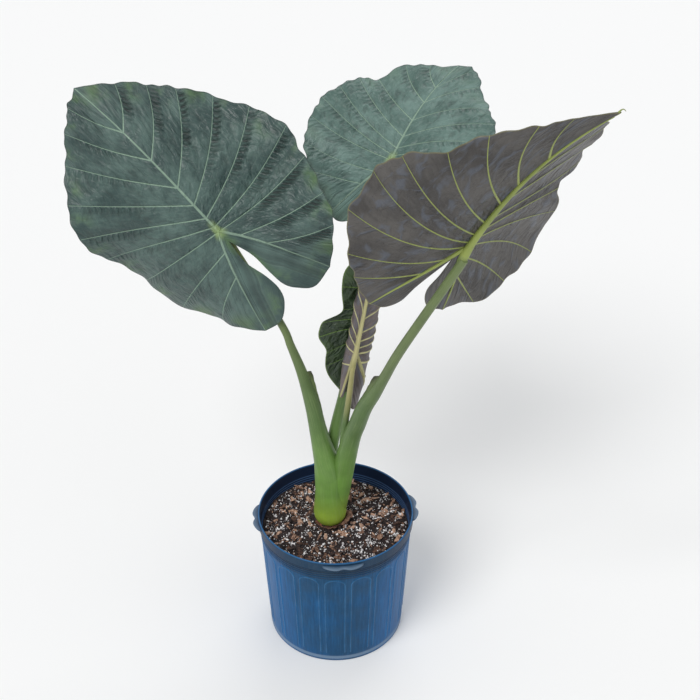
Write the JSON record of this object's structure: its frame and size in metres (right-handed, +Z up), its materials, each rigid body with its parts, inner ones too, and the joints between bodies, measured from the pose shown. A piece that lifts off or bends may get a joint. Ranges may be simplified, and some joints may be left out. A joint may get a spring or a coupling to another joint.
{
  "type": "potted giant taro",
  "caption": "Potted giant taro: nursery pot of soil, a swollen corm foot and tall stalks with large heart-shaped, wavy-edged blades.",
  "frame": {"origin": "middle of the pot's flat underside, on the surface it stands on", "axes": "+Z up; -Y towards the side the picture was taken from; +X to that viewer's right"},
  "size_m": [0.7752, 0.6234, 1.0273],
  "materials": {
    "pot": "moulded blue polypropylene, slightly scuffed",
    "soil": "loose dark bark mix with white grains",
    "corm": "rough brown skin",
    "husk": "dry papery brown leaf base",
    "stalk": "smooth waxy green stalk, paler at the foot",
    "blade": "waxy dark green leaf",
    "blade_purple": "leaf with a purple-brown underside and yellow-green veins"
  },
  "bodies": {
    "root": {"pot": "pot", "soil": "soil", "corm": "corm", "husk": "husk", "stalk_left": "stalk", "stalk_back": "stalk", "stalk_right": "stalk", "stalk_young": "stalk", "blade_left": "blade", "blade_back": "blade", "blade_right": "blade_purple", "blade_young": "blade_purple"}
  },
  "joints": []
}
